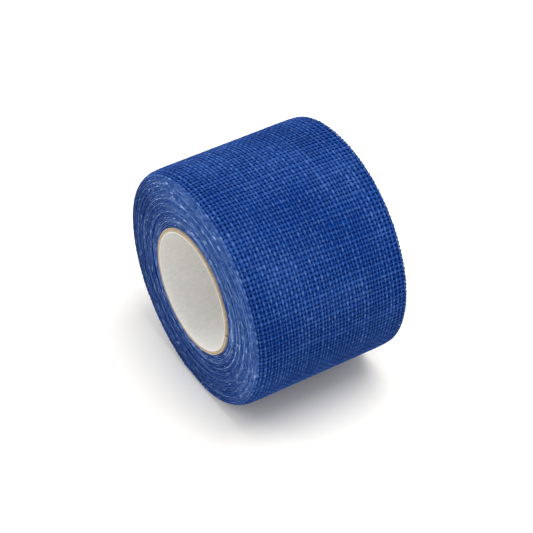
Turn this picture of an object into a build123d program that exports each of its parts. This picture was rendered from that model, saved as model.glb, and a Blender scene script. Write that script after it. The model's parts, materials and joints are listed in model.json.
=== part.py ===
from build123d import *
from math import acos, cos, degrees, pi, radians, sin
import os

# A roll of self-adhering gauze tape for wrapping hands: one long woven strip wound on a paper core.
# Millimetres. The origin is the centre of the core's bore. The roll's axis is Y, +Z is up, and the
# roll lies on its curved side. Winding angles are in degrees, from +X towards +Z, and keep counting
# up from turn to turn.

# Driving dimensions
tape_width = 25.4
tape_thickness = 0.24
turn_count = 30
core_bore_radius = 9.25
liner_thickness = 0.12
kraft_thickness = 0.25
core_proud = 0.25
seam_width = 0.3
seam_pitch = 60.0
inner_seam_angle = 20.0
outer_seam_angle = 200.0
free_edge_angle = 218.0
free_end_arc = 68.0
free_end_pieces = 4
flattened_turns = 12

# Clearances
glue_line = 0.02
core_to_tape = 0.03
turn_gap = 0.04
fold_gap = 0.03

# Worked out from the above
core_length = tape_width + 2 * core_proud
inner_ply_radius = core_bore_radius + liner_thickness + glue_line
outer_ply_radius = inner_ply_radius + kraft_thickness + glue_line
core_radius = outer_ply_radius + kraft_thickness
turn_pitch = tape_thickness + turn_gap
centre_shift = turn_pitch / 4
start_angle = free_edge_angle
end_angle = start_angle + 360 * turn_count
fold_angle = end_angle - free_end_arc
first_radius = core_radius + core_to_tape
base_radius = first_radius - turn_pitch / 2 - centre_shift * cos(radians(start_angle))
roll_radius = first_radius + (turn_count - 0.5) * turn_pitch + tape_thickness
last_pressed_turn = int((fold_angle - 270) // 360)
flat_depth = flattened_turns * turn_gap / 2


def lie_down(shape):
    """Turns a shape drawn in X and Y so that its Y becomes Z and its depth runs along Y."""
    return Rot(90, 0, 0) * shape


def ring(inner_radius, thickness):
    """The end face of a paper ply."""
    return Circle(inner_radius + thickness) - Circle(inner_radius)


def core_liner():
    """The white paper that lines the bore."""
    return lie_down(extrude(ring(core_bore_radius, liner_thickness), core_length / 2, both=True))


def kraft_ply(inner_radius, seam_angle):
    """A brown paper strip wound in a spiral, with its edges butted along a helix."""
    middle_radius = inner_radius + kraft_thickness / 2
    seam = Pos(middle_radius, 0) * Rectangle(4 * kraft_thickness, seam_width)
    section = ring(inner_radius, kraft_thickness) - Rot(0, 0, seam_angle) * seam
    end_centre = (0, 0, -core_length / 2)
    end_face = section.face().moved(Location(end_centre))
    twist = 360 * core_length / seam_pitch
    return lie_down(Solid.extrude_linear_with_rotation(end_face, end_centre, (0, 0, core_length), twist))


def spiral_point(angle, half_turn, offset):
    """A point on the strip's inner face, or offset outwards from it.

    The spiral is struck from two centres: half turns above the axis from one a little to -X, half
    turns below it from one a little to +X."""
    centre_x = centre_shift if half_turn % 2 else -centre_shift
    radius = base_radius + half_turn * turn_pitch / 2 + offset
    return Vector(centre_x + radius * cos(radians(angle)), radius * sin(radians(angle)))


def flat_half_angle(half_turn):
    """Half the angle over which a half turn is pressed flat underneath, or 0 where it is not."""
    turns_further_in = last_pressed_turn - half_turn // 2
    if half_turn % 2 == 0 or turns_further_in >= flattened_turns:
        return 0
    depth = flat_depth * (1 - turns_further_in / flattened_turns)
    return degrees(acos(1 - depth / (base_radius + half_turn * turn_pitch / 2)))


def half_turn_edges(half_turn, first, last, offset):
    """One face of the strip over a half turn: an arc, or an arc each side of a flat."""
    bottom = 180 * half_turn + 90
    spread = flat_half_angle(half_turn)
    arcs = [(first, last)]
    edges = []
    if spread and first < bottom - spread and last > bottom + spread:
        arcs = [(first, bottom - spread), (bottom + spread, last)]
        flat = [spiral_point(bottom + side * spread, half_turn, offset) for side in (-1, 1)]
        edges.append(Edge.make_line(*flat))
    for begin, end in arcs:
        points = [spiral_point(angle, half_turn, offset) for angle in (begin, (begin + end) / 2, end)]
        edges.append(Edge.make_three_point_arc(*points))
    return edges


def strip(first, last):
    """A length of the tape from one winding angle to another."""
    edges = []
    for offset in (0, tape_thickness):
        for half_turn in range(int(first // 180), int(last // 180) + 1):
            low = max(first, 180 * half_turn)
            high = min(last, 180 * half_turn + 180)
            if high > low:
                edges += half_turn_edges(half_turn, low, high, offset)
    for angle in (first, last):
        ends = [spiral_point(angle, int(angle // 180), offset) for offset in (0, tape_thickness)]
        edges.append(Edge.make_line(*ends))
    return lie_down(extrude(make_face(edges), tape_width / 2, both=True))


def free_end_piece(number):
    """One of the short lengths that the free end bends into as it is peeled."""
    arc = free_end_arc / free_end_pieces
    first = fold_angle + number * arc
    return strip(first + degrees(fold_gap / roll_radius), first + arc)


def fold_line(number):
    """Where a free end piece hinges: the outer edge of the cut that it starts from."""
    angle = fold_angle + number * free_end_arc / free_end_pieces
    return spiral_point(angle, int(angle // 180), tape_thickness)


nodes = {
    "core_white_liner": core_liner(),
    "core_kraft_inner_ply": kraft_ply(inner_ply_radius, inner_seam_angle),
    "core_kraft_outer_ply": kraft_ply(outer_ply_radius, outer_seam_angle),
    "tape_windings": strip(start_angle, fold_angle - 360),
    "tape_outer_turn": strip(fold_angle - 360, fold_angle),
}
for number in range(free_end_pieces):
    nodes[f"tape_free_end_{number + 1}"] = free_end_piece(number)

os.makedirs("parts", exist_ok=True)
for name, shape in nodes.items():
    export_step(shape, f"parts/{name}.step")

tape_volume = sum(shape.volume for name, shape in nodes.items() if name.startswith("tape"))
print("roll radius", round(roll_radius, 3), "bottom", round(nodes["tape_outer_turn"].bounding_box().min.Z, 4))
print("tape length", round(tape_volume / tape_width / tape_thickness, 1))
for number in range(free_end_pieces):
    print("fold line", number + 1, "at x", round(fold_line(number).X, 4), "z", round(fold_line(number).Y, 4))
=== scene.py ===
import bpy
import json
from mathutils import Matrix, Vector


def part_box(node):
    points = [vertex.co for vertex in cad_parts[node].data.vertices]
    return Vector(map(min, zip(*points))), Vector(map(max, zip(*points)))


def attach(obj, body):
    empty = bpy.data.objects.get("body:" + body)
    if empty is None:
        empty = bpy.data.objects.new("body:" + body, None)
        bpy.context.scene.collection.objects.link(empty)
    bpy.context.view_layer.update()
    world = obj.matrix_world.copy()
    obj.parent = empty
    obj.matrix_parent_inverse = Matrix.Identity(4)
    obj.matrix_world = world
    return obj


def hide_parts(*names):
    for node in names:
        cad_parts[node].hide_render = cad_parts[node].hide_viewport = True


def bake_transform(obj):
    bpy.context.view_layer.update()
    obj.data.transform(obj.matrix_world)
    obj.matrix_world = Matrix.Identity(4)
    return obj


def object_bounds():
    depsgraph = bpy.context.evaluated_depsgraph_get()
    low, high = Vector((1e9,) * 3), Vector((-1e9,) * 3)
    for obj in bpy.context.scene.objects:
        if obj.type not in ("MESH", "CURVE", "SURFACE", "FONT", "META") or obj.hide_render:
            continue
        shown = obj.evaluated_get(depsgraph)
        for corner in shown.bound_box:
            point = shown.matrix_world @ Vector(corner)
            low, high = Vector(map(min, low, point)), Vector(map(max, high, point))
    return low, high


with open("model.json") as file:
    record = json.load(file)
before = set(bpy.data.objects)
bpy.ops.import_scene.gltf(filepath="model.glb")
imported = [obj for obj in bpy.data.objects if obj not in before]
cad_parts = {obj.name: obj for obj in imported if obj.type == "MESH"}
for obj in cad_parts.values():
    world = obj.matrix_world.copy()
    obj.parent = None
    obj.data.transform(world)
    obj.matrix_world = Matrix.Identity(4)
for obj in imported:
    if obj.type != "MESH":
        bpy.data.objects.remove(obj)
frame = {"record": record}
cadBox = [list(corner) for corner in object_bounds()]

import json
import math

import bpy
import numpy as np

# A roll of gauze tape for wrapping hands, made yarn by yarn on its paper core.
# Metres. The roll's axis is Y and it lies on its curved side. An angle on the roll counts from +X
# towards +Z, and a place along the tape is given in turns from its inner end.

mm = 0.001
floorHeight = cadBox[0][2]


def deselectAll():
    if bpy.context.mode != "OBJECT":
        bpy.ops.object.mode_set(mode="OBJECT")
    bpy.ops.object.select_all(action="DESELECT")


def pickUp(piece):
    deselectAll()
    piece.select_set(True)
    bpy.context.view_layer.objects.active = piece


def applyModifiers(piece):
    pickUp(piece)
    for modifier in list(piece.modifiers):
        bpy.ops.object.modifier_apply(modifier=modifier.name)


def pointsOf(piece):
    flat = np.zeros(len(piece.data.vertices) * 3)
    piece.data.vertices.foreach_get("co", flat)
    return flat.reshape(-1, 3)


def movePoints(piece, points):
    piece.data.vertices.foreach_set("co", points.astype(np.float32).ravel())
    piece.data.update()


def paintPoints(piece, **attributes):
    # gives every point one number for each name, for the materials to read
    for name, values in attributes.items():
        attribute = piece.data.attributes.new(name, "FLOAT", "POINT")
        attribute.data.foreach_set("value", np.asarray(values, np.float32).ravel())


def smoothShade(piece, angle):
    pickUp(piece)
    bpy.ops.object.shade_smooth_by_angle(angle=math.radians(angle))


def roundTheAxis(points):
    # each point's angle round the roll's axis, and how far it is from the axis
    return np.arctan2(points[:, 2], points[:, 0]), np.hypot(points[:, 0], points[:, 2])


def placeRoundTheAxis(piece, angle, radius, along):
    movePoints(piece, np.stack([radius * np.cos(angle), along, radius * np.sin(angle)], axis=-1))


# the way the tape is wound
tape = {
    "width": 25.4 * mm,
    "length": 2.69,
    "thickness": 0.24 * mm,
    "coreGap": 0.03 * mm,           # between the core and the first turn
    "layerStep": 0.28 * mm,         # from one turn to the next
    "startAngle": 218.0,            # where the inner end lies on the core
    "turns": 30.0,
    "climb": 0.12,                  # the share of a turn that climbs over the inner end
    "climbTurns": 8.0,              # by this turn the step has evened out
    "freeArc": 68.0,                # the length left loose for peeling, in degrees
    "endsAcross": 46,               # lengthwise yarns
    "edgeMargin": 0.4 * mm,         # past the outermost lengthwise yarns, both edges together
    "pickStep": 0.676 * mm,         # crosswise yarns, one to the next
    "skew": 0.74 * mm,              # how far the crosswise yarns lean over the width
    "pressedDepth": 0.24 * mm,      # how flat the roll is underneath
    "pressedTurns": 12.0,
    "nearPinch": 0.070,             # how far the near rim is pressed in, as a share of the wall
    "farPinch": 0.018,
    "pinchPower": 20.0,
    "pinchLimit": 1.02,             # past the edge by this much, it goes no deeper
    "edgeWander": 0.05 * mm,
    "wanderSeed": 31,
    "wanderSpeed": 2.3,
}
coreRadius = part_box("core_kraft_outer_ply")[1].x
firstLayer = coreRadius + tape["coreGap"] + tape["thickness"] / 2
foldTurn = tape["turns"] - tape["freeArc"] / 360
lastEnd = tape["endsAcross"] - 1
endStep = (tape["width"] - tape["edgeMargin"]) / lastEnd


def pickAtTurn(turn):
    # the tape's length up to a turn, counted in crosswise yarns
    length = firstLayer * turn + tape["layerStep"] * turn * turn / 2
    return 2 * math.pi * length / tape["pickStep"]


def turnAtPick(pick):
    layerStep = tape["layerStep"]
    length = np.asarray(pick, float) * tape["pickStep"] / (2 * math.pi)
    return (np.sqrt(firstLayer ** 2 + 2 * layerStep * length) - firstLayer) / layerStep


def turnAtAngle(angle):
    # the last time that the tape passes an angle
    return tape["turns"] - (tape["startAngle"] - angle) / 360


def slowWave(seed, *places):
    # a smooth irregular wave between about -1 and 1
    rng = np.random.default_rng(seed)
    wave = 0
    for strength in (1.0, 0.8, 0.6, 0.45):
        phase = rng.uniform(0, 2 * math.pi)
        for place in places:
            phase = phase + place * rng.uniform(0.5, 1.5) * rng.choice((-1, 1)) / strength
        wave = wave + strength * np.sin(phase)
    return wave / 1.8


def settledTurn(turn):
    # the first turns lie close on the core and on each other, and climb over the inner end
    # in one step
    part = turn - np.floor(turn)
    climb = np.clip((part - 1 + tape["climb"]) / tape["climb"], 0, 1)
    climb = climb * climb * (3 - 2 * climb)
    return turn + (climb - part) * np.clip(1 - turn / tape["climbTurns"], 0, 1)


def rollPoints(turn, across, lift):
    # lays points of the flat tape on the roll: turn along it, across it, and lift off its middle
    turn, across, lift = np.broadcast_arrays(turn, across, lift)
    angle = math.radians(tape["startAngle"]) + 2 * math.pi * turn
    radius = firstLayer + tape["layerStep"] * settledTurn(turn) + lift
    side = 2 * across / tape["width"]  # -1 at the near edge, 1 at the far edge
    pinch = np.where(side < 0, tape["nearPinch"], tape["farPinch"])
    pinch = pinch * np.minimum(np.abs(side), tape["pinchLimit"]) ** tape["pinchPower"]
    radius = coreRadius + (radius - coreRadius) * (1 - pinch)
    bottomTurn = tape["turns"] - 1 + (270 - tape["startAngle"]) / 360
    pressed = np.clip(1 - (bottomTurn - turn) / tape["pressedTurns"], 0, 1)
    pressed = tape["pressedDepth"] * pressed
    down = np.maximum(-np.sin(angle), 1e-3)
    radius = np.minimum(radius, np.maximum(radius - pressed, 0) / down)
    x, z = radius * np.cos(angle), radius * np.sin(angle)
    wander = tape["edgeWander"] * slowWave(tape["wanderSeed"], turn * tape["wanderSpeed"])
    across = across + wander * (0.5 + 0.5 * np.abs(side))
    return np.stack([x, across, np.maximum(z, floorHeight)], axis=-1)


yarn = {
    "endHalfWidth": 0.138 * mm,
    "pickHalfWidth": 0.195 * mm,
    "halfThickness": 0.068 * mm,
    "crimp": 0.064 * mm,            # how far a yarn rises over the ones it crosses
    "pointsPerCrossing": 4,
    "sides": 6,
    "spacingUnevenness": 0.21,      # of a yarn's place, in steps
    "waviness": 0.17,
    "nearCrowding": 0.45,           # the yarns stand closer beside a cut edge
    "farCrowding": 0.85,
    "crowdedYarns": 5,              # how many yarns in from an edge do so
    "calmYarns": 3,                 # how many there run straighter than the rest
    "calmest": 0.15,
    "thicknessUnevenness": 0.22,    # from one yarn to the next
    "endSlubs": 0.10,               # along one yarn
    "pickSlubs": 0.12,
    "filling": 0.16,                # patches where the yarns are fuller and the holes smaller
    "overhang": 0.32,               # of crosswise yarns past the outermost yarn, in steps
    "raggedness": (-0.06, 0.08),
    "fray": (-0.25, 0.75),          # how far lengthwise yarns stand out of the loose end
    "frayPicks": 2,                 # over this many crosswise steps
    "endTone": 0.15,
    "endToneSpread": 0.55,
    "tonePatches": 0.1,
    "pickTones": (0, 0.6),
    "pickCrownHighlight": 0.66,              # crosswise yarns get less painted highlight and rub on their crowns
    "nearRimHighlightAndWear": 0.6,
    "nearTipWear": 0.4,
    "farTipWear": 0.1,
    "seed": 7,
}
# irregular waves over the cloth: a seed, and how fast the wave changes with each of two places
clothWaves = {
    "pickDrift": (11, 0.21, 0.16),
    "endDrift": (12, 0.13, 0.27),
    "endSlubs": (21, 0.9, 2.1),
    "pickSlubs": (22, 0.7, 1.7),
    "tone": (23, 0.15, 1),
    "filling": (24, 0.16, 0.15),
}
yarnGap = 10.0                      # between yarns while they lie straight, in tube radii


def straightYarns(name, stepCount, yarnCount, sides):
    # one step of open tube is repeated into a yarn, closed at both ends, and laid beside itself
    deselectAll()
    bpy.ops.mesh.primitive_cylinder_add(
        vertices=sides, radius=1, depth=1, end_fill_type="NOTHING",
        rotation=(0, math.pi / 2, 0), location=(0.5, 0, 0))
    piece = bpy.context.object
    piece.name = piece.data.name = name
    bpy.ops.object.transform_apply(location=True, rotation=True, scale=True)
    steps = piece.modifiers.new("steps", "ARRAY")
    steps.count = stepCount
    steps.use_relative_offset = False
    steps.use_constant_offset = True
    steps.constant_offset_displace = (1, 0, 0)
    steps.use_merge_vertices = True
    steps.merge_threshold = 0.001
    applyModifiers(piece)
    bpy.ops.object.mode_set(mode="EDIT")
    bpy.ops.mesh.select_all(action="SELECT")
    bpy.ops.mesh.fill_holes(sides=sides)
    bpy.ops.mesh.select_all(action="SELECT")
    bpy.ops.mesh.normals_make_consistent(inside=False)
    bpy.ops.object.mode_set(mode="OBJECT")
    if yarnCount > 1:
        beside = piece.modifiers.new("beside", "ARRAY")
        beside.count = yarnCount
        beside.use_relative_offset = False
        beside.use_constant_offset = True
        beside.constant_offset_displace = (0, yarnGap, 0)
        applyModifiers(piece)
    return piece


def readYarns(piece):
    # step along the yarn, which yarn, and the point's place round it
    points = pointsOf(piece)
    number = np.round(points[:, 1] / yarnGap)
    return points[:, 0], number, points[:, 1] - number * yarnGap, points[:, 2]


def unevenSteps(seed, size):
    return np.random.default_rng(seed).uniform(-1, 1, size)


pickDraws, endDraws = 6000, 200     # uneven steps, more than there are yarns
firstShift = 50                     # the lengthwise yarns' first one, with spare ones before it
firstTone = 64
pickShift = unevenSteps(yarn["seed"], pickDraws) * yarn["spacingUnevenness"]
endShift = unevenSteps(yarn["seed"] + 1, endDraws) * yarn["spacingUnevenness"] * 1.2
pickWeight = 1 + unevenSteps(yarn["seed"] + 2, pickDraws) * yarn["thicknessUnevenness"]
endWeight = 1 + unevenSteps(yarn["seed"] + 3, endDraws) * yarn["thicknessUnevenness"]


def clothWave(name, first, second):
    seed, firstSpeed, secondSpeed = clothWaves[name]
    return slowWave(seed, first * firstSpeed, second * secondSpeed)


def clothPoints(pick, end, lift):
    # pick counts crosswise yarns along the tape and end counts lengthwise ones over its width
    evenPick, evenEnd = pick, end
    fromEdge = np.minimum(evenEnd, lastEnd - evenEnd)
    calm = np.clip(fromEdge / yarn["calmYarns"], yarn["calmest"], 1)
    pick = evenPick + np.interp(evenPick, np.arange(pickDraws), pickShift)
    pick = pick + yarn["waviness"] * clothWave("pickDrift", evenPick, evenEnd)
    pick = pick + tape["skew"] / tape["pickStep"] * (0.5 - evenEnd / tape["endsAcross"])
    end = evenEnd + np.interp(evenEnd + firstShift, np.arange(endDraws), endShift) * calm
    end = end + yarn["waviness"] * 1.1 * clothWave("endDrift", evenPick, evenEnd) * calm
    fromEdge = np.minimum(end, lastEnd - end)
    crowding = np.where(end < lastEnd / 2, yarn["nearCrowding"], yarn["farCrowding"])
    crowding = crowding * np.clip(1 - fromEdge / yarn["crowdedYarns"], 0, 1)
    crowding = crowding * np.clip(fromEdge, 0, 1)
    across = (end + crowding * np.sign(end - lastEnd / 2) - lastEnd / 2) * endStep
    return rollPoints(turnAtPick(pick), across, lift)


def fullness(pick, end):
    return 1 + yarn["filling"] * clothWave("filling", pick, end)


def roundYarn(top, side):
    # how far round its yarn a point is, as a share of a turn
    return np.arctan2(top, side) / (2 * math.pi)


def weave(name, firstPick, lastPick, frayed=False):
    # lengthwise and crosswise yarns from one pick to another, joined as one piece
    perStep = yarn["pointsPerCrossing"]
    pickCount = lastPick - firstPick
    highest = yarn["crimp"] + yarn["halfThickness"]
    rng = np.random.default_rng(1000 + firstPick)  # each length has its own draws

    lengthwise = straightYarns(name, pickCount * perStep, tape["endsAcross"], yarn["sides"])
    step, number, side, top = readYarns(lengthwise)
    index = number.astype(int)
    pick = firstPick - 0.5 + step / perStep
    if frayed:
        reach = rng.uniform(*yarn["fray"], tape["endsAcross"])[index]
        fraying = (pick - lastPick + yarn["frayPicks"]) / (yarn["frayPicks"] - 0.5)
        pick = pick + reach * np.clip(fraying, 0, 1)
    slubs = 1 + yarn["endSlubs"] * clothWave("endSlubs", pick, number)
    weight = endWeight[index] * slubs * fullness(pick, number)
    lift = yarn["crimp"] * np.cos(math.pi * (pick + number)) + top * yarn["halfThickness"] * weight
    end = number + side * yarn["endHalfWidth"] * weight / endStep
    movePoints(lengthwise, clothPoints(pick, end, lift))
    tone = yarn["endTone"] + yarn["endToneSpread"] * endWeight[index + firstTone]
    tone = tone + yarn["tonePatches"] * clothWave("tone", pick, number)
    paintPoints(
        lengthwise,
        crown=lift / highest,
        along=pick * tape["pickStep"] / mm,
        round=roundYarn(top, side) + number * 3,
        tone=tone,
        # the near rim's yarn is painted paler, partly its fraying edge and partly a painted
        # highlight along the rim
        worn=np.clip(1.2 - number, 0, 1) * yarn["nearRimHighlightAndWear"])

    stepsAcross = tape["endsAcross"] * perStep
    crosswise = straightYarns(name + "_picks", stepsAcross, pickCount, yarn["sides"])
    step, number, side, top = readYarns(crosswise)
    index = number.astype(int)
    end = -yarn["overhang"] + step * (lastEnd + 2 * yarn["overhang"]) / stepsAcross
    pickNumber = firstPick + number
    nearReach = rng.uniform(*yarn["raggedness"], pickCount)[index]
    farReach = rng.uniform(*yarn["raggedness"], pickCount)[index]
    nearTip, farTip = np.clip(-2.5 * end, 0, 1), np.clip(2.5 * (end - lastEnd), 0, 1)
    slubs = 1 + yarn["pickSlubs"] * clothWave("pickSlubs", end, pickNumber)
    weight = pickWeight[pickNumber.astype(int)] * slubs * fullness(pickNumber, end)
    lift = -yarn["crimp"] * np.cos(math.pi * (end + pickNumber))
    lift = lift + top * yarn["halfThickness"] * weight
    pick = pickNumber + side * yarn["pickHalfWidth"] * weight / tape["pickStep"]
    end = end - nearReach * nearTip + farReach * farTip
    movePoints(crosswise, clothPoints(pick, end, lift))
    paintPoints(
        crosswise,
        crown=yarn["pickCrownHighlight"] * lift / highest,
        along=end * endStep / mm,
        round=roundYarn(top, side) + number * 3 + 0.5,
        tone=rng.uniform(*yarn["pickTones"], pickCount)[index],
        worn=nearTip * yarn["nearTipWear"] + farTip * yarn["farTipWear"])

    pickUp(lengthwise)
    crosswise.select_set(True)
    bpy.ops.object.join()
    smoothShade(lengthwise, 80)
    return lengthwise


def newMaterial(name):
    material = bpy.data.materials.new(name)
    material.use_nodes = True
    nodes = material.node_tree.nodes
    return material, nodes, material.node_tree.links, nodes["Principled BSDF"]


def addNode(nodes, kind, **settings):
    node = nodes.new(kind)
    for key, value in settings.items():
        setattr(node, key, value)
    return node


def newGroup(name, inputs, outputs):
    group = bpy.data.node_groups.new(name, "ShaderNodeTree")
    for socketName, kind, value in inputs:
        socket = group.interface.new_socket(socketName, in_out="INPUT", socket_type=kind)
        socket.default_value = value
    for socketName, kind in outputs:
        group.interface.new_socket(socketName, in_out="OUTPUT", socket_type=kind)
    return group, group.nodes.new("NodeGroupInput"), group.nodes.new("NodeGroupOutput")


def placeGroup(nodes, group, **values):
    node = nodes.new("ShaderNodeGroup")
    node.node_tree = group
    for key, value in values.items():
        node.inputs[key].default_value = value
    return node


def feed(links, socket, value):
    # a socket takes another node's output, or else a plain number or colour
    if hasattr(value, "links"):
        links.new(value, socket)
    else:
        socket.default_value = value


def calculate(nodes, links, operation, *values):
    node = addNode(nodes, "ShaderNodeMath", operation=operation)
    for socket, value in zip(node.inputs, values):
        feed(links, socket, value)
    return node.outputs[0]


def mixColours(nodes, links, factor, first, second):
    mix = addNode(nodes, "ShaderNodeMix", data_type="RGBA")
    for socket, value in ((0, factor), (6, first), (7, second)):
        feed(links, mix.inputs[socket], value)
    return mix.outputs[2]


def ramp(nodes, links, source, low, high):
    spread = addNode(nodes, "ShaderNodeMapRange", interpolation_type="SMOOTHSTEP")
    spread.inputs["From Min"].default_value = low
    spread.inputs["From Max"].default_value = high
    links.new(source, spread.inputs["Value"])
    return spread.outputs["Result"]


def noise(nodes, links, place, scale, detail, roughness=0.5):
    texture = nodes.new("ShaderNodeTexNoise")
    feed(links, texture.inputs["Vector"], place)
    feed(links, texture.inputs["Scale"], scale)
    texture.inputs["Detail"].default_value = detail
    texture.inputs["Roughness"].default_value = roughness
    return texture.outputs[0]


def roughenSurface(nodes, links, shader, source, smoothest, roughest):
    spread = addNode(nodes, "ShaderNodeMapRange")
    spread.inputs["To Min"].default_value = smoothest
    spread.inputs["To Max"].default_value = roughest
    links.new(source, spread.inputs["Value"])
    links.new(spread.outputs[0], shader.inputs["Roughness"])


def raiseSurface(nodes, links, shader, height, strength, depth):
    bump = addNode(nodes, "ShaderNodeBump")
    bump.inputs["Strength"].default_value = strength
    bump.inputs["Distance"].default_value = depth
    links.new(height, bump.inputs["Height"])
    links.new(bump.outputs[0], shader.inputs["Normal"])


cotton = {
    "turnsPerMm": 1.6,
    "plies": 2,
    "slubLength": 1.5,              # in mm
    "fibresPerMetre": 9000,
    "fibreRoughness": 0.65,
}


def makeTwistGroup():
    # spun cotton: plies turning round the yarn, slubs along it, and fine loose fibres
    kind = "NodeSocketFloat"
    group, given, made = newGroup(
        "spunTwist",
        [("Along", kind, 0), ("Round", kind, 0), ("Turns per mm", kind, cotton["turnsPerMm"]),
         ("Slub length", kind, cotton["slubLength"])],
        [("Plies", kind), ("Slubs", kind), ("Fibres", kind)])
    nodes, links = group.nodes, group.links
    along, around = given.outputs["Along"], given.outputs["Round"]
    turned = calculate(nodes, links, "MULTIPLY", along, given.outputs["Turns per mm"])
    turned = calculate(nodes, links, "ADD", turned, around)
    plies = calculate(nodes, links, "MULTIPLY", turned, 2 * math.pi * cotton["plies"])
    plies = calculate(nodes, links, "SINE", plies)
    links.new(ramp(nodes, links, plies, -1, 1), made.inputs["Plies"])
    place = addNode(nodes, "ShaderNodeCombineXYZ")
    links.new(along, place.inputs[0])
    links.new(around, place.inputs[1])
    slubScale = calculate(nodes, links, "DIVIDE", 1, given.outputs["Slub length"])
    slubs = noise(nodes, links, place.outputs[0], slubScale, 3)
    links.new(slubs, made.inputs["Slubs"])
    place = addNode(nodes, "ShaderNodeTexCoord").outputs["Object"]
    fibres = noise(nodes, links, place, cotton["fibresPerMetre"], 4, cotton["fibreRoughness"])
    links.new(fibres, made.inputs["Fibres"])
    return group


def makePatchGroup():
    # patches where the dye or the rubber coat is a little thicker, their size in mm
    group, given, made = newGroup(
        "unevenDye", [("Size", "NodeSocketFloat", 4.0)], [("Patches", "NodeSocketFloat")])
    nodes, links = group.nodes, group.links
    place = addNode(nodes, "ShaderNodeTexCoord").outputs["Object"]
    scale = calculate(nodes, links, "DIVIDE", 1 / mm, given.outputs["Size"])
    patches = noise(nodes, links, place, scale, 5)
    links.new(ramp(nodes, links, patches, 0.25, 0.75), made.inputs["Patches"])
    return group


def makePaperGroup():
    # paper: short fibres pressed flat, their size in mm, and cloudy patches
    kind = "NodeSocketFloat"
    group, given, made = newGroup(
        "paperFibre", [("Fibre size", kind, 0.3)], [("Fibre", kind), ("Cloud", kind)])
    nodes, links = group.nodes, group.links
    place = addNode(nodes, "ShaderNodeTexCoord").outputs["Object"]
    stretch = addNode(nodes, "ShaderNodeMapping")
    stretch.inputs["Scale"].default_value = (1, 0.35, 1)
    links.new(place, stretch.inputs["Vector"])
    scale = calculate(nodes, links, "DIVIDE", 1 / mm, given.outputs["Fibre size"])
    links.new(noise(nodes, links, stretch.outputs[0], scale, 6, 0.7), made.inputs["Fibre"])
    links.new(noise(nodes, links, place, 260, 3), made.inputs["Cloud"])
    return group


twistGroup = makeTwistGroup()
patchGroup = makePatchGroup()
paperGroup = makePaperGroup()

# what every yarn has, whatever its dye
yarnFinish = {
    "lightSlubs": (0.52, 0.95),
    "grooveShadeLevel": 0.45,            # below this height the plies are painted darker, painted shade in the grooves between them
    "grooveShadeDepth": 0.9,
    "crownHighlightAndRub": (0.2, 1.25),    # from how high a yarn's crowns are painted paler, partly rubbed latex and partly a painted highlight
    "slubHighlightAndRub": (0.15, 0.75),
    "roughness": (0.62, 0.92),
    "fibreHeight": 0.5,
    "bump": 0.5,
    "bumpDepth": 0.03 * mm,
    "sheen": 0.02,
    "sheenRoughness": 0.45,
    "sheenTint": (0.35, 0.5, 1, 1),
    "gloss": 0.05,
}


def yarnMaterial(name, dye):
    material, nodes, links, shader = newMaterial(name)
    along, around, tone, worn, crown = (
        addNode(nodes, "ShaderNodeAttribute", attribute_name=attribute).outputs["Fac"]
        for attribute in ("along", "round", "tone", "worn", "crown"))
    twist = placeGroup(nodes, twistGroup)
    links.new(along, twist.inputs["Along"])
    links.new(around, twist.inputs["Round"])
    plies, slubs, fibres = (twist.outputs[output] for output in ("Plies", "Slubs", "Fibres"))
    dyed = placeGroup(nodes, patchGroup, Size=dye["patchSize"]).outputs[0]

    colour = mixColours(nodes, links, tone, dye["deep"], dye["light"])
    thickDye = ramp(nodes, links, dyed, *dye["patches"])
    colour = mixColours(nodes, links, thickDye, colour, dye["deepest"])
    lightSlubs = ramp(nodes, links, slubs, *yarnFinish["lightSlubs"])
    colour = mixColours(nodes, links, lightSlubs, colour, dye["highlight"])
    # painted shade: the grooves between the plies are mixed towards the deepest blue
    grooveShade = calculate(nodes, links, "SUBTRACT", yarnFinish["grooveShadeLevel"], plies)
    grooveShade = ramp(nodes, links, grooveShade, 0.0, yarnFinish["grooveShadeDepth"])
    colour = mixColours(nodes, links, grooveShade, colour, dye["deepest"])
    # painted highlight: the high crowns on thick slubs are mixed towards a paler blue, partly for
    # rubbed latex and partly standing in for light on the crowns
    highlightAndRub = calculate(
        nodes, links, "MULTIPLY",
        ramp(nodes, links, crown, *yarnFinish["crownHighlightAndRub"]),
        ramp(nodes, links, slubs, *yarnFinish["slubHighlightAndRub"]))
    colour = mixColours(nodes, links, highlightAndRub, colour, dye["highlightAndRub"])
    # paler marks: pale dashes and cut tips, and on the near rim's yarn partly a painted highlight
    paleness = calculate(nodes, links, "MULTIPLY", worn, ramp(nodes, links, slubs, *dye["pale"]))
    colour = mixColours(nodes, links, paleness, colour, dye["worn"])
    links.new(colour, shader.inputs["Base Color"])

    roughenSurface(nodes, links, shader, fibres, *yarnFinish["roughness"])
    height = calculate(nodes, links, "MULTIPLY_ADD", fibres, yarnFinish["fibreHeight"], plies)
    raiseSurface(nodes, links, shader, height, yarnFinish["bump"], yarnFinish["bumpDepth"])
    shader.inputs["Sheen Weight"].default_value = yarnFinish["sheen"]
    shader.inputs["Sheen Roughness"].default_value = yarnFinish["sheenRoughness"]
    shader.inputs["Sheen Tint"].default_value = yarnFinish["sheenTint"]
    shader.inputs["Specular IOR Level"].default_value = yarnFinish["gloss"]
    return material


surfaceDye = {
    "deepest": (0.001, 0.014, 0.110, 1),
    "deep": (0.003, 0.030, 0.175, 1),
    "light": (0.008, 0.056, 0.270, 1),
    "highlight": (0.055, 0.135, 0.400, 1),
    "highlightAndRub": (0.076, 0.155, 0.375, 1),
    "worn": (0.14, 0.22, 0.46, 1),
    "patches": (0.35, 2.2),
    "pale": (0.35, 0.75),           # the slubs that show the paler wear and the painted rim highlight
    "patchSize": 6.0,
}
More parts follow.
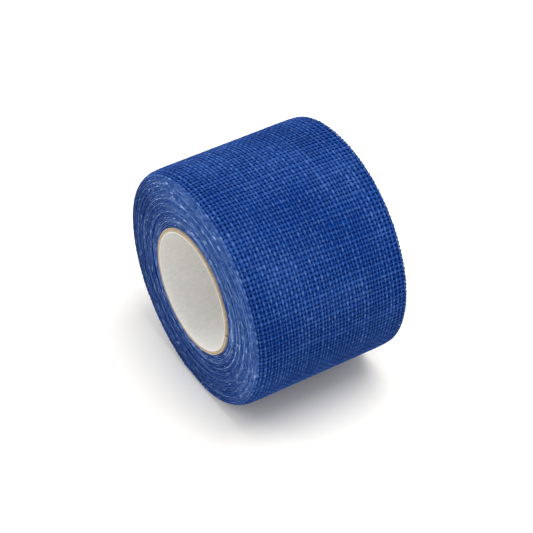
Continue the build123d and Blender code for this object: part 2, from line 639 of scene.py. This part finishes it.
# the cut faces' yarns: paler than the surface for their cut ends and latex, and lightened further
# as painted light on the roll's faces
cutEdgeDyeWithPaintedLight = {
    "deepest": (0.004, 0.030, 0.150, 1),
    "deep": (0.014, 0.062, 0.270, 1),
    "light": (0.165, 0.280, 0.590, 1),
    "highlight": (0.145, 0.245, 0.540, 1),
    "highlightAndRub": (0.125, 0.220, 0.490, 1),
    "worn": (0.31, 0.44, 0.72, 1),
    "patches": (0.35, 1.6),
    "pale": (0.30, 0.60),
    "patchSize": 3.0,
}
surfaceYarn = yarnMaterial("blueGauzeYarn", surfaceDye)
edgeYarn = yarnMaterial("blueGauzeCutEdge", cutEdgeDyeWithPaintedLight)


def paperMaterial(name, paper):
    material, nodes, links, shader = newMaterial(name)
    fibreNode = placeGroup(nodes, paperGroup)
    fibreNode.inputs["Fibre size"].default_value = paper["fibreSize"]
    fibre, cloud = fibreNode.outputs["Fibre"], fibreNode.outputs["Cloud"]
    paleness = ramp(nodes, links, fibre, 0.3, 0.72)
    colour = mixColours(nodes, links, paleness, paper["dark"], paper["pale"])
    stains = ramp(nodes, links, cloud, 0.42, 1.1)
    colour = mixColours(nodes, links, stains, colour, paper["stain"])
    links.new(colour, shader.inputs["Base Color"])
    smoothest, roughest = paper["roughness"] - 0.1, paper["roughness"] + 0.1
    roughenSurface(nodes, links, shader, fibre, smoothest, roughest)
    raiseSurface(nodes, links, shader, fibre, paper["bump"], 0.05 * mm)
    shader.inputs["Specular IOR Level"].default_value = 0.25
    return material


core = {
    "segments": 180,
    "plyThickness": 0.25 * mm,
    "linerInset": 0.004 * mm,
    "seamPitch": 60.0 * mm,
    "seamAngles": {"core_kraft_inner_ply": 20.0, "core_kraft_outer_ply": 200.0},
    "seamWidth": 0.3 * mm,
    "cutRoughness": 0.035 * mm,
    "cutWaves": (7, 16, 37, 61),    # round the rim
    "cutSeeds": {"core_white_liner": 3, "core_kraft_inner_ply": 11, "core_kraft_outer_ply": 29},
    "boreWaviness": 0.010 * mm,
    "boreSeed": 41,
    "white": {
        "dark": (0.66, 0.650, 0.625, 1),
        "pale": (0.75, 0.745, 0.73, 1),
        "stain": (0.68, 0.65, 0.60, 1),
        "fibreSize": 0.35,
        "roughness": 0.62,
        "bump": 0.25,
    },
    "kraft": {
        "dark": (0.30, 0.225, 0.145, 1),
        "pale": (0.50, 0.41, 0.30, 1),
        "stain": (0.55, 0.46, 0.35, 1),
        "fibreSize": 0.22,
        "roughness": 0.85,
        "bump": 0.6,
    },
}
whitePaper = paperMaterial("whiteLinerPaper", core["white"])
kraftPaper = paperMaterial("brownKraftBoard", core["kraft"])


def turnedWall(name, innerRadius, outerRadius, halfLength, sweep):
    # a thin rectangle, its rims rounded, spun about the roll's axis
    deselectAll()
    wall = outerRadius - innerRadius
    bpy.ops.mesh.primitive_plane_add(size=1, location=((innerRadius + outerRadius) / 2, 0, 0))
    piece = bpy.context.object
    piece.name = piece.data.name = name
    piece.scale = (wall, 2 * halfLength, 1)
    bpy.ops.object.transform_apply(location=True, rotation=True, scale=True)
    bpy.ops.object.mode_set(mode="EDIT")
    bpy.ops.mesh.select_all(action="SELECT")
    bpy.ops.mesh.bevel(offset=wall * 0.3, segments=2, affect="VERTICES")
    bpy.ops.mesh.select_mode(type="EDGE")
    bpy.ops.mesh.select_all(action="DESELECT")
    bpy.ops.object.mode_set(mode="OBJECT")
    for edge in piece.data.edges:  # the two long edges
        first, second = (piece.data.vertices[i] for i in edge.vertices)
        edge.select = abs(first.co.y - second.co.y) > halfLength
    bpy.ops.object.mode_set(mode="EDIT")
    bpy.ops.mesh.subdivide(number_cuts=24)
    bpy.ops.mesh.select_all(action="SELECT")
    bpy.ops.mesh.region_to_loop()  # keep only the outline
    bpy.ops.mesh.select_all(action="INVERT")
    bpy.ops.mesh.delete(type="EDGE_FACE")
    bpy.ops.mesh.select_mode(type="VERT")
    bpy.ops.mesh.select_all(action="SELECT")
    bpy.ops.mesh.spin(
        steps=core["segments"], angle=math.radians(sweep), center=(0, 0, 0), axis=(0, 1, 0),
        dupli=False)
    bpy.ops.mesh.select_all(action="SELECT")
    bpy.ops.mesh.remove_doubles(threshold=0.002 * mm)
    if sweep < 360:
        bpy.ops.mesh.select_all(action="DESELECT")
        bpy.ops.mesh.select_mode(type="EDGE")
        bpy.ops.mesh.select_non_manifold()
        bpy.ops.mesh.edge_face_add()
        bpy.ops.mesh.quads_convert_to_tris(ngon_method="BEAUTY")
        bpy.ops.mesh.select_mode(type="VERT")
    bpy.ops.mesh.select_all(action="SELECT")
    bpy.ops.mesh.normals_make_consistent(inside=False)
    bpy.ops.object.mode_set(mode="OBJECT")
    return piece


def roughenRims(piece, halfLength, amount, seed):
    points = pointsOf(piece)
    angle, radius = roundTheAxis(points)
    nearRim = np.clip((np.abs(points[:, 1]) - 0.9 * halfLength) / (0.1 * halfLength), 0, 1)
    chop = 0
    widest = core["cutWaves"][0]
    for waves in core["cutWaves"]:
        chop = chop + np.sin(angle * waves + seed + waves) * widest / (widest + waves)
    points[:, 1] = points[:, 1] - np.sign(points[:, 1]) * nearRim * amount * (0.5 + 0.5 * chop)
    movePoints(piece, points)


def makeCore():
    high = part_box("core_white_liner")[1]
    halfLength = high.y
    innerRadius = frame["record"]["mounts"][0]["dims"]["r_mm"] * mm
    liner = turnedWall("coreLiner", innerRadius, high.x - core["linerInset"], halfLength, 360)
    points = pointsOf(liner)
    angle, radius = roundTheAxis(points)
    swell = slowWave(core["boreSeed"], angle * 1.5, points[:, 1] / (9 * mm))
    swell = core["boreWaviness"] * swell * (radius < high.x - 0.05 * mm)  # only the bore's own wall
    radius = radius + swell * np.sin(angle / 2) ** 2 * 0.8
    placeRoundTheAxis(liner, angle, radius, points[:, 1])
    cutSeeds = core["cutSeeds"]
    roughenRims(liner, halfLength, core["cutRoughness"] * 0.5, cutSeeds["core_white_liner"])
    liner.data.materials.append(whitePaper)
    smoothShade(liner, 50)
    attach(liner, "roll")
    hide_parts("core_white_liner")

    plies = {"core_kraft_inner_ply": "coreInnerKraft", "core_kraft_outer_ply": "coreOuterKraft"}
    for name, label in plies.items():
        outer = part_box(name)[1].x
        gap = math.degrees(core["seamWidth"] / outer)
        ply = turnedWall(label, outer - core["plyThickness"], outer, halfLength, 360 - gap)
        points = pointsOf(ply)
        angle, radius = roundTheAxis(points)
        turnBy = math.radians(core["seamAngles"][name])
        turnBy = turnBy + 2 * math.pi * (halfLength - points[:, 1]) / core["seamPitch"]
        placeRoundTheAxis(ply, angle + turnBy, radius, points[:, 1])
        roughenRims(ply, halfLength, core["cutRoughness"], cutSeeds[name])
        ply.data.materials.append(kraftPaper)
        smoothShade(ply, 50)
        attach(ply, "roll")
        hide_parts(name)
    print("core made")


makeCore()

windings = {
    "segmentsPerTurn": 96,
    "segmentsAcross": 10,
    "halfWidth": 12.50 * mm,
    "thickness": 0.24 * mm,
    "rise": 0.105 * mm,             # so that each turn touches the one wound over it
    "wander": 0.04 * mm,            # how unevenly the turns lie beside each other
    "wanderSeed": 51,
    "wanderSpeed": 3.1,
    "shadedUnder": (0.0005, 0.015, 0.140, 1),
    "over": (0.001, 0.038, 0.270, 1),
    "patch": (0.002, 0.042, 0.240, 1),
    "patchSize": 2.5,
    "patches": (0.5, 1.4),
    "roughness": (0.8, 0.95),
    "gloss": 0.05,
    "bump": 0.6,
    "bumpDepth": 0.08 * mm,
    "weaveSteps": {"X": 676, "Y": 552},  # thousandths of a mm from yarn to yarn, along and across
    "bandsPerUnit": 3.1,            # that a wave texture draws at a scale of 1
}


def buriedMaterial():
    # the turns underneath, seen only between yarns: the same weave, dark and low, its low bands
    # painted darker as painted shade
    material, nodes, links, shader = newMaterial("blueGauzeBuried")
    place = addNode(nodes, "ShaderNodeUVMap", uv_map="weaveMap")
    waves = []
    for direction, weaveStep in windings["weaveSteps"].items():
        wave = addNode(nodes, "ShaderNodeTexWave", wave_type="BANDS", bands_direction=direction)
        wave.inputs["Scale"].default_value = 0.5 * 1000 / weaveStep / windings["bandsPerUnit"]
        wave.inputs["Distortion"].default_value = 0.4
        links.new(place.outputs[0], wave.inputs["Vector"])
        waves.append(wave.outputs["Fac"])
    height = calculate(nodes, links, "MAXIMUM", *waves)
    dyed = placeGroup(nodes, patchGroup, Size=windings["patchSize"]).outputs[0]
    # painted shade: the weave's low bands take the darker colour, the raised bands the lighter one
    colour = mixColours(nodes, links, height, windings["shadedUnder"], windings["over"])
    thickDye = ramp(nodes, links, dyed, *windings["patches"])
    colour = mixColours(nodes, links, thickDye, colour, windings["patch"])
    links.new(colour, shader.inputs["Base Color"])
    roughenSurface(nodes, links, shader, dyed, *windings["roughness"])
    raiseSurface(nodes, links, shader, height, windings["bump"], windings["bumpDepth"])
    shader.inputs["Specular IOR Level"].default_value = windings["gloss"]
    return material


buriedCloth = buriedMaterial()


def makeWindings():
    # one long strip, laid out flat, wound on and then given its thickness
    deselectAll()
    lengthSteps = round(foldTurn - 1) * windings["segmentsPerTurn"]
    bpy.ops.mesh.primitive_grid_add(
        x_subdivisions=lengthSteps, y_subdivisions=windings["segmentsAcross"], size=2)
    cloth = bpy.context.object
    cloth.name = cloth.data.name = "tapeWindings"
    points = pointsOf(cloth)
    turn = (points[:, 0] + 1) / 2 * (foldTurn - 1)
    across = points[:, 1] * windings["halfWidth"]
    mapped = cloth.data.uv_layers.active
    mapped.name = "weaveMap"
    corners = np.zeros(len(cloth.data.loops), np.int32)
    cloth.data.loops.foreach_get("vertex_index", corners)
    place = np.stack([pickAtTurn(turn) * tape["pickStep"] / mm, across / mm], axis=-1)
    mapped.data.foreach_set("uv", place[corners].astype(np.float32).ravel())
    wander = slowWave(windings["wanderSeed"], turn * windings["wanderSpeed"])
    across = across + windings["wander"] * wander * np.abs(points[:, 1])
    movePoints(cloth, rollPoints(turn, across, windings["rise"] - windings["thickness"] / 2))
    wall = cloth.modifiers.new("thickness", "SOLIDIFY")
    wall.thickness = windings["thickness"]
    wall.offset = 0
    applyModifiers(cloth)
    cloth.data.materials.append(buriedCloth)
    smoothShade(cloth, 60)
    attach(cloth, "roll")
    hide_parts("tape_windings")
    return cloth


# the outermost lengthwise yarn of each buried turn, and the cut crosswise ends, called stubs
edgeThreads = {
    "sides": 5,
    "pointsPerPick": 2,
    "halfWidth": 0.15 * mm,
    "halfThickness": 0.066 * mm,
    "crimp": 0.040 * mm,
    "place": 12.54 * mm,
    "wander": 0.05 * mm,
    "toneUnevenness": 0.3,
    "dashFrom": 0.65,               # from how strong a wave a pale dash begins
    "dashEdge": 4.0,
    "stubSides": 4,
    "stubSteps": 2,
    "stubRoot": 12.42 * mm,
    "stubTip": 12.63 * mm,
    "stubShort": 0.10 * mm,         # how much some stubs fall short of the tip
    "stubReach": 0.07 * mm,         # and others reach past it
    "stubHalfWidth": 0.17 * mm,
    "stubHalfThickness": 0.060 * mm,
    "stubTaper": 0.25,
    "stubLean": 0.35,               # in crosswise steps
    "stubDroop": 0.10,              # in mm
    "stubDashFrom": 0.95,
    "stubDashEdge": 1.6,
    "stubPalest": 0.7,
    "nearSeed": 61,
    "farSeed": 62,
}
# which turns are pale and which dark on a face of the roll
bands = {
    "middle": 0.47,
    "outerDarkening": 0.26,
    "outerFrom": 22,                # in turns
    "outerOver": 6,
    "coarse": 0.16,
    "fine": 0.22,
    "own": 0.40,                    # of each turn by itself
}


def bandTone(turn, seed):
    angle = 2 * math.pi * turn
    coarse = slowWave(seed, turn * 1.9, np.sin(angle + seed) * 1.1)
    fine = slowWave(seed + 1, turn * 6.5, np.cos(angle * 2 + seed) * 0.8)
    own = unevenSteps(seed + 9, 40)[np.floor(np.maximum(turn, 0)).astype(int)]
    outermost = np.clip((turn - bands["outerFrom"]) / bands["outerOver"], 0, 1)
    tone = bands["middle"] - bands["outerDarkening"] * outermost
    return tone + bands["coarse"] * coarse + bands["fine"] * fine + bands["own"] * own


def makeEdge(name, side):
    # a face of the roll: a yarn that winds through every buried turn, and its stubs
    threads = edgeThreads
    lastPick = int(pickAtTurn(foldTurn - 1))
    seed = threads["nearSeed"] if side < 0 else threads["farSeed"]
    rng = np.random.default_rng(seed)
    thread = straightYarns(name, lastPick * threads["pointsPerPick"], 1, threads["sides"])
    step, number, around, top = readYarns(thread)
    pick = step / threads["pointsPerPick"]
    turn = turnAtPick(pick)
    lift = threads["crimp"] * np.cos(math.pi * pick) + top * threads["halfThickness"]
    across = side * (threads["place"] + threads["wander"] * slowWave(seed + 2, pick * 0.35))
    across = across + around * threads["halfWidth"]
    movePoints(thread, rollPoints(turn, across, lift))
    tone = bandTone(turn, seed)
    dashes = slowWave(seed + 5, pick * 0.9, turn * 9.0) + 0.9 * (tone - 0.5)
    ownTone = unevenSteps(seed + 7, lastPick + 2)[np.floor(pick + 0.5).astype(int)]
    paintPoints(
        thread,
        crown=lift / (yarn["crimp"] + threads["halfThickness"]),
        along=pick * tape["pickStep"] / mm,
        round=roundYarn(top, around),
        tone=np.clip(tone + threads["toneUnevenness"] * ownTone, 0, 1),
        worn=np.clip((dashes - threads["dashFrom"]) * threads["dashEdge"], 0, 1))

    stubs = straightYarns(name + "_stubs", threads["stubSteps"], lastPick, threads["stubSides"])
    step, number, around, top = readYarns(stubs)
    index = number.astype(int)
    share = step / threads["stubSteps"]  # from its root to its tip
    reach = rng.uniform(-threads["stubShort"], threads["stubReach"], lastPick)[index]
    reach = threads["stubTip"] + reach
    lean = rng.uniform(-threads["stubLean"], threads["stubLean"], lastPick)[index]
    droop = rng.uniform(-threads["stubDroop"], threads["stubDroop"], lastPick)[index] * mm
    across = side * (threads["stubRoot"] + share * (reach - threads["stubRoot"]))
    taper = 1 - threads["stubTaper"] * share
    weight = pickWeight[index]
    halfWidth = threads["stubHalfWidth"] * weight * taper / tape["pickStep"]
    pick = number + lean * share + around * halfWidth
    lift = -yarn["crimp"] * np.cos(math.pi * number) * (1 - 0.5 * share) + droop * share
    lift = lift + top * threads["stubHalfThickness"] * weight * taper
    turn = turnAtPick(np.maximum(pick, 0))
    movePoints(stubs, rollPoints(turn, across, lift))
    tone = bandTone(turn, seed)
    dashes = slowWave(seed + 5, number * 1.1, np.floor(turn) * 5.0) + 1.2 * (tone - 0.5)
    pale = (dashes - threads["stubDashFrom"]) * threads["stubDashEdge"]
    pale = np.clip(pale, 0, threads["stubPalest"])
    paintPoints(
        stubs,
        # crown here sets how much of the painted crown highlight and rub the stub takes towards its
        # tip
        crown=0.3 + 0.7 * share * rng.uniform(0, 1, lastPick)[index],
        along=number * 1.3 + across / mm,
        round=roundYarn(top, around) + number,
        tone=np.clip(tone + rng.uniform(-0.3, 0.3, lastPick)[index], 0, 1),
        worn=pale * rng.uniform(0.3, 1, lastPick)[index])

    pickUp(thread)
    stubs.select_set(True)
    bpy.ops.object.join()
    thread.data.materials.append(edgeYarn)
    smoothShade(thread, 80)
    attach(thread, "roll")
    return thread


woundCloth = makeWindings()
print("windings made")
clothPieces = [makeEdge("tapeEdgeNear", -1), makeEdge("tapeEdgeFar", 1)]
print("cut edges made")

# the outer turn, woven in sectors
outerTurn = {"sectors": 8}
turnStart = round(pickAtTurn(foldTurn - 1))
turnEnd = round(pickAtTurn(foldTurn))
sectorPicks = (turnEnd - turnStart) / outerTurn["sectors"]
sectorEdges = [round(turnStart + sectorPicks * i) for i in range(outerTurn["sectors"] + 1)]
for i in range(outerTurn["sectors"]):
    sector = weave(f"tapeOuterTurn{i + 1}", sectorEdges[i], sectorEdges[i + 1])
    sector.data.materials.append(surfaceYarn)
    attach(sector, "roll")
    clothPieces.append(sector)
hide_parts("tape_outer_turn")  # the first sector, after the two cut edges
print("outer turn woven")

# the free end, in five parts: one over each hinge, and the loose tip
freeEnd = {
    "bodies": ["roll", "free_end_1", "free_end_2", "free_end_3", "free_end_4"],
    "angles": [150.0, 158.5, 175.5, 192.5, 209.5, 218.0],
}
freeEdges = [round(pickAtTurn(turnAtAngle(angle))) for angle in freeEnd["angles"]]
freeEdges[0] = turnEnd
tip = len(freeEnd["bodies"]) - 1
for i in range(tip + 1):
    part = weave(f"tapeFreeEnd{i + 1}", freeEdges[i], freeEdges[i + 1], frayed=i == tip)
    part.data.materials.append(surfaceYarn)
    first, last = (rollPoints(turnAtPick(edge - 0.5), 0, 0) for edge in freeEdges[i:i + 2])
    if i < tip:
        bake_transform(part)
        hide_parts(f"tape_free_end_{i + 1}")
    else:
        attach(part, "free_end_4")
    clothPieces.append(part)
print("free end woven")

studio = {
    "floorSize": 3.0,
    "floorColour": (0.84, 0.825, 0.79, 1),
    "floorRoughness": 0.9,
    "azimuth": 57.96,
    "elevation": 41.33,
    "distance": 0.3153,
    "lens": 143.3,
    "slideRight": 0.030 * mm,
    "slideUp": -0.800 * mm,
    "worldColour": (1, 1, 1, 1),
    "worldStrength": 1.0,
    "keyPlace": (0.14, 0.15, 0.77),
    "keySize": 0.55,
    "keyPower": 4.4,
    "fillPlace": (-0.58, -0.42, 0.22),
    "fillSize": 0.35,
    "fillPower": 1.9,
}


def makeStudio():
    deselectAll()
    bpy.ops.mesh.primitive_plane_add(size=studio["floorSize"], location=(0, 0, floorHeight))
    floor = bpy.context.object
    floor.name = "floor"
    material, nodes, links, shader = newMaterial("paleFloor")
    shader.inputs["Base Color"].default_value = studio["floorColour"]
    shader.inputs["Roughness"].default_value = studio["floorRoughness"]
    shader.inputs["Specular IOR Level"].default_value = 0.0
    floor.data.materials.append(material)

    world = bpy.data.worlds.new("studioWorld")
    bpy.context.scene.world = world
    world.use_nodes = True
    background = world.node_tree.nodes["Background"]
    background.inputs["Color"].default_value = studio["worldColour"]
    background.inputs["Strength"].default_value = studio["worldStrength"]

    for light in ("key", "fill"):
        x, y, z = studio[light + "Place"]
        bpy.ops.object.light_add(type="AREA", location=(x, y, z))
        lamp = bpy.context.object
        lamp.name = light + "Light"
        lamp.data.shape = "DISK"
        lamp.data.size = studio[light + "Size"]
        lamp.data.energy = studio[light + "Power"]
        tilt = math.atan2(math.hypot(x, y), z)  # each lamp points at the roll's middle
        lamp.rotation_euler = (tilt, 0, math.atan2(y, x) + math.pi / 2)

    azimuth, elevation = math.radians(studio["azimuth"]), math.radians(studio["elevation"])
    right = np.array([math.cos(azimuth), math.sin(azimuth), 0])
    back = np.array([
        math.sin(azimuth) * math.cos(elevation),
        -math.cos(azimuth) * math.cos(elevation),
        math.sin(elevation)])
    up = np.cross(back, right)
    slide = right * studio["slideRight"] + up * studio["slideUp"]
    bpy.ops.object.camera_add(
        location=tuple(back * studio["distance"] + slide),
        rotation=(math.pi / 2 - elevation, 0, azimuth))
    camera = bpy.context.object
    camera.data.lens = studio["lens"]
    camera.data.sensor_width = 36
    camera.data.clip_start = 0.01
    bpy.context.scene.camera = camera
    bpy.context.scene.view_settings.view_transform = "Standard"
    print("studio set")


makeStudio()
